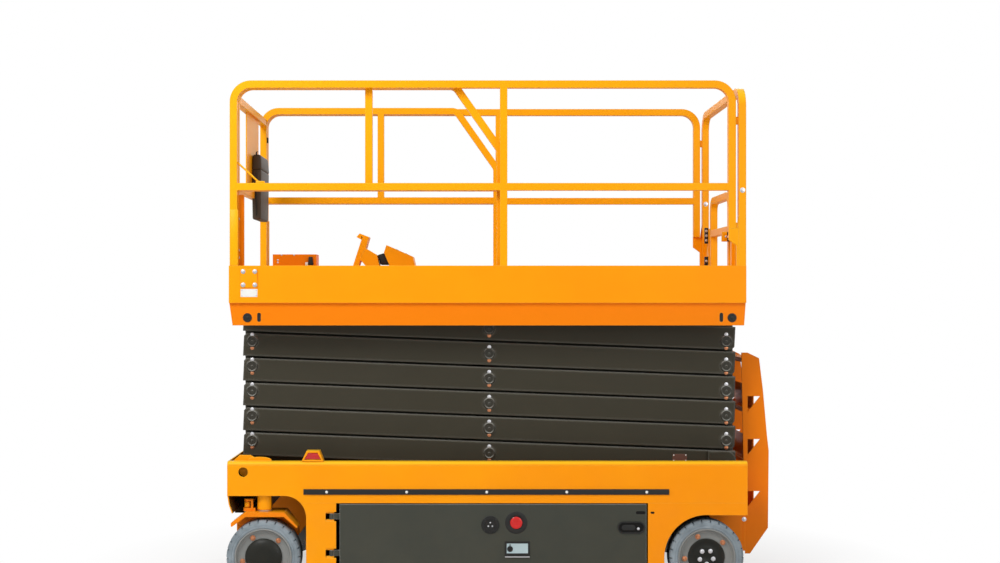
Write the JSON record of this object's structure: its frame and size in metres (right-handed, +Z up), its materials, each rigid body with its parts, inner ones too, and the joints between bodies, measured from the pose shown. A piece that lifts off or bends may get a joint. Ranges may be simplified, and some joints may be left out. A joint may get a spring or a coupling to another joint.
{
  "type": "scissor lift",
  "caption": "Electric slab scissor lift: wheeled chassis with steered front wheels, stacked arms, guarded platform with slide-out deck, swing gate and ladder.",
  "frame": {"origin": "ground level under the middle of the machine's whole length and width", "axes": "+X to the rear (ladder end), +Y to the machine's right side, +Z up"},
  "size_m": [2.8605, 1.25, 2.646],
  "materials": {
    "body_paint": "satin",
    "arm_paint": "satin",
    "door_paint": "satin",
    "rim_paint": "satin",
    "tyre": "matt",
    "bright_steel": "polished",
    "black_plastic": "matt",
    "red_plastic": "gloss"
  },
  "bodies": {
    "chassis": {"chassis_spine": "body_paint", "front_axle": "body_paint", "rear_axle": "body_paint", "side_skin_left": "body_paint", "side_skin_right": "body_paint", "arch_liner_left": "body_paint", "arch_liner_right": "body_paint", "side_box_left": "body_paint", "side_box_right": "body_paint", "arm_pivots": "arm_paint", "roller_tracks": "body_paint", "marker_lamps": "body_paint", "mouldings": "black_plastic", "ladder": "body_paint", "battery_block": "black_plastic", "power_pack": "arm_paint"},
    "door_left": {"door_left": "door_paint", "door_fittings": "black_plastic", "emergency_stop": "red_plastic"},
    "door_right": {"door_right": "door_paint"},
    "knuckle_left": {"knuckle_left": "body_paint"},
    "knuckle_right": {"knuckle_right": "body_paint"},
    "tie_rod": {"tie_rod": "bright_steel"},
    "platform": {"platform_deck": "body_paint", "platform_sides": "body_paint", "side_rails": "body_paint", "rear_rail_frame": "body_paint", "gate_jambs": "body_paint"},
    "gate": {"entry_gate": "body_paint"},
    "extension": {"extension_deck": "body_paint", "extension_rails": "body_paint", "manual_box": "black_plastic", "control_box": "body_paint", "deck_box": "body_paint"},
    "wheel_front_left": {"wheel_front_left": "rim_paint", "tyre_front_left": "tyre"},
    "wheel_front_right": {"wheel_front_right": "rim_paint", "tyre_front_right": "tyre"},
    "wheel_rear_left": {"wheel_rear_left": "rim_paint", "tyre_rear_left": "tyre"},
    "wheel_rear_right": {"wheel_rear_right": "rim_paint", "tyre_rear_right": "tyre"},
    "outer_1": {"outer_arms_1": "arm_paint"},
    "inner_1": {"inner_arms_1": "arm_paint"},
    "outer_2": {"outer_arms_2": "arm_paint"},
    "inner_2": {"inner_arms_2": "arm_paint"},
    "outer_3": {"outer_arms_3": "arm_paint"},
    "inner_3": {"inner_arms_3": "arm_paint"},
    "outer_4": {"outer_arms_4": "arm_paint"},
    "inner_4": {"inner_arms_4": "arm_paint"},
    "outer_5": {"outer_arms_5": "arm_paint"},
    "inner_5": {"inner_arms_5": "arm_paint"},
    "outer_6": {"outer_arms_6": "arm_paint"},
    "inner_6": {"inner_arms_6": "arm_paint"},
    "lower_barrel": {"lower_barrel": "arm_paint"},
    "lower_rod": {"lower_rod": "bright_steel"},
    "upper_barrel": {"upper_barrel": "arm_paint"},
    "upper_rod": {"upper_rod": "bright_steel"}
  },
  "joints": [
    {"name": "lift", "type": "hinge", "parent": "chassis", "child": "outer_1", "pos_m": [1.17725, 0, 0.635], "axis": [0, 1, 0], "range_deg": [0, 57]},
    {"name": "front_pin_1", "type": "hinge", "parent": "outer_1", "child": "inner_2", "pos_m": [-1.33075, 0, 0.7664], "axis": [0, 1, 0], "range_deg": [-114, 0]},
    {"name": "rear_pin_2", "type": "hinge", "parent": "inner_2", "child": "outer_3", "pos_m": [1.17725, 0, 0.8978], "axis": [0, 1, 0], "range_deg": [0, 114]},
    {"name": "front_pin_3", "type": "hinge", "parent": "outer_3", "child": "inner_4", "pos_m": [-1.33075, 0, 1.0292], "axis": [0, 1, 0], "range_deg": [-114, 0]},
    {"name": "rear_pin_4", "type": "hinge", "parent": "inner_4", "child": "outer_5", "pos_m": [1.17725, 0, 1.1606], "axis": [0, 1, 0], "range_deg": [0, 114]},
    {"name": "front_pin_5", "type": "hinge", "parent": "outer_5", "child": "inner_6", "pos_m": [-1.33075, 0, 1.292], "axis": [0, 1, 0], "range_deg": [-114, 0]},
    {"name": "centre_pin_1", "type": "hinge", "parent": "outer_1", "child": "inner_1", "pos_m": [-0.07675, 0, 0.7007], "axis": [0, 1, 0], "range_deg": [-114, 0]},
    {"name": "centre_pin_2", "type": "hinge", "parent": "inner_2", "child": "outer_2", "pos_m": [-0.07675, 0, 0.8321], "axis": [0, 1, 0], "range_deg": [0, 114]},
    {"name": "centre_pin_3", "type": "hinge", "parent": "outer_3", "child": "inner_3", "pos_m": [-0.07675, 0, 0.9635], "axis": [0, 1, 0], "range_deg": [-114, 0]},
    {"name": "centre_pin_4", "type": "hinge", "parent": "inner_4", "child": "outer_4", "pos_m": [-0.07675, 0, 1.0949], "axis": [0, 1, 0], "range_deg": [0, 114]},
    {"name": "centre_pin_5", "type": "hinge", "parent": "outer_5", "child": "inner_5", "pos_m": [-0.07675, 0, 1.2263], "axis": [0, 1, 0], "range_deg": [-114, 0]},
    {"name": "centre_pin_6", "type": "hinge", "parent": "inner_6", "child": "outer_6", "pos_m": [-0.07675, 0, 1.3577], "axis": [0, 1, 0], "range_deg": [0, 114]},
    {"name": "platform_pin", "type": "hinge", "parent": "inner_6", "child": "platform", "pos_m": [1.17725, 0, 1.4234], "axis": [0, 1, 0], "range_deg": [0, 57]},
    {"name": "lower_barrel_pin", "type": "hinge", "parent": "inner_1", "child": "lower_barrel", "pos_m": [-1.25174, 0, 0.65602], "axis": [0, 1, 0], "range_deg": [-11.76, 0]},
    {"name": "lower_rod_slide", "type": "slide", "parent": "lower_barrel", "child": "lower_rod", "axis": [0.9954, 0, 0.0954], "range_m": [0, 2.00641]},
    {"name": "upper_barrel_pin", "type": "hinge", "parent": "inner_4", "child": "upper_barrel", "pos_m": [-1.25174, 0, 1.05022], "axis": [0, 1, 0], "range_deg": [-11.76, 0]},
    {"name": "upper_rod_slide", "type": "slide", "parent": "upper_barrel", "child": "upper_rod", "axis": [0.9954, 0, 0.0954], "range_m": [0, 2.00641]},
    {"name": "deck_extension", "type": "slide", "parent": "platform", "child": "extension", "axis": [-1, 0, 0], "range_m": [0, 0.9]},
    {"name": "gate_swing", "type": "hinge", "parent": "platform", "child": "gate", "pos_m": [1.22925, 0.305, 1.74], "axis": [0, 0, -1], "range_deg": [0, 90]},
    {"name": "door_left_swing", "type": "hinge", "parent": "chassis", "child": "door_left", "pos_m": [-0.88975, -0.6, 0.306], "axis": [0, 0, -1], "range_deg": [0, 95]},
    {"name": "door_right_swing", "type": "hinge", "parent": "chassis", "child": "door_right", "pos_m": [-0.88975, 0.6, 0.306], "axis": [0, 0, 1], "range_deg": [0, 95]},
    {"name": "steer", "type": "hinge", "parent": "chassis", "child": "knuckle_left", "pos_m": [-1.23975, -0.5565, 0.46], "axis": [0, 0, 1], "range_deg": [-50, 50]},
    {"name": "steer_right", "type": "hinge", "parent": "chassis", "child": "knuckle_right", "pos_m": [-1.23975, 0.5565, 0.46], "axis": [0, 0, 1], "range_deg": [-50, 50]},
    {"name": "tie_rod_pin", "type": "hinge", "parent": "knuckle_left", "child": "tie_rod", "pos_m": [-1.32975, -0.5565, 0.455], "axis": [0, 0, 1], "range_deg": [-50, 50]},
    {"name": "roll_front_left", "type": "hinge", "parent": "knuckle_left", "child": "wheel_front_left", "pos_m": [-1.23975, -0.5565, 0.1905], "axis": [0, 1, 0], "continuous": true},
    {"name": "roll_front_right", "type": "hinge", "parent": "knuckle_right", "child": "wheel_front_right", "pos_m": [-1.23975, 0.5565, 0.1905], "axis": [0, 1, 0], "continuous": true},
    {"name": "roll_rear_left", "type": "hinge", "parent": "chassis", "child": "wheel_rear_left", "pos_m": [1.03625, -0.5565, 0.1905], "axis": [0, 1, 0], "continuous": true},
    {"name": "roll_rear_right", "type": "hinge", "parent": "chassis", "child": "wheel_rear_right", "pos_m": [1.03625, 0.5565, 0.1905], "axis": [0, 1, 0], "continuous": true}
  ],
  "couplings": [
    {"joint": "front_pin_1", "follows": "lift", "ratio": -2},
    {"joint": "rear_pin_2", "follows": "lift", "ratio": 2},
    {"joint": "front_pin_3", "follows": "lift", "ratio": -2},
    {"joint": "rear_pin_4", "follows": "lift", "ratio": 2},
    {"joint": "front_pin_5", "follows": "lift", "ratio": -2},
    {"joint": "centre_pin_1", "follows": "lift", "ratio": -2},
    {"joint": "centre_pin_2", "follows": "lift", "ratio": 2},
    {"joint": "centre_pin_3", "follows": "lift", "ratio": -2},
    {"joint": "centre_pin_4", "follows": "lift", "ratio": 2},
    {"joint": "centre_pin_5", "follows": "lift", "ratio": -2},
    {"joint": "centre_pin_6", "follows": "lift", "ratio": 2},
    {"joint": "platform_pin", "follows": "lift", "ratio": 1},
    {"joint": "lower_barrel_pin", "follows": "lift", "ratio": -0.20626},
    {"joint": "lower_rod_slide", "follows": "lift", "m_per_rad": 2.0166},
    {"joint": "upper_barrel_pin", "follows": "lift", "ratio": -0.20626},
    {"joint": "upper_rod_slide", "follows": "lift", "m_per_rad": 2.0166},
    {"joint": "steer_right", "follows": "steer", "ratio": 1},
    {"joint": "tie_rod_pin", "follows": "steer", "ratio": -1}
  ]
}
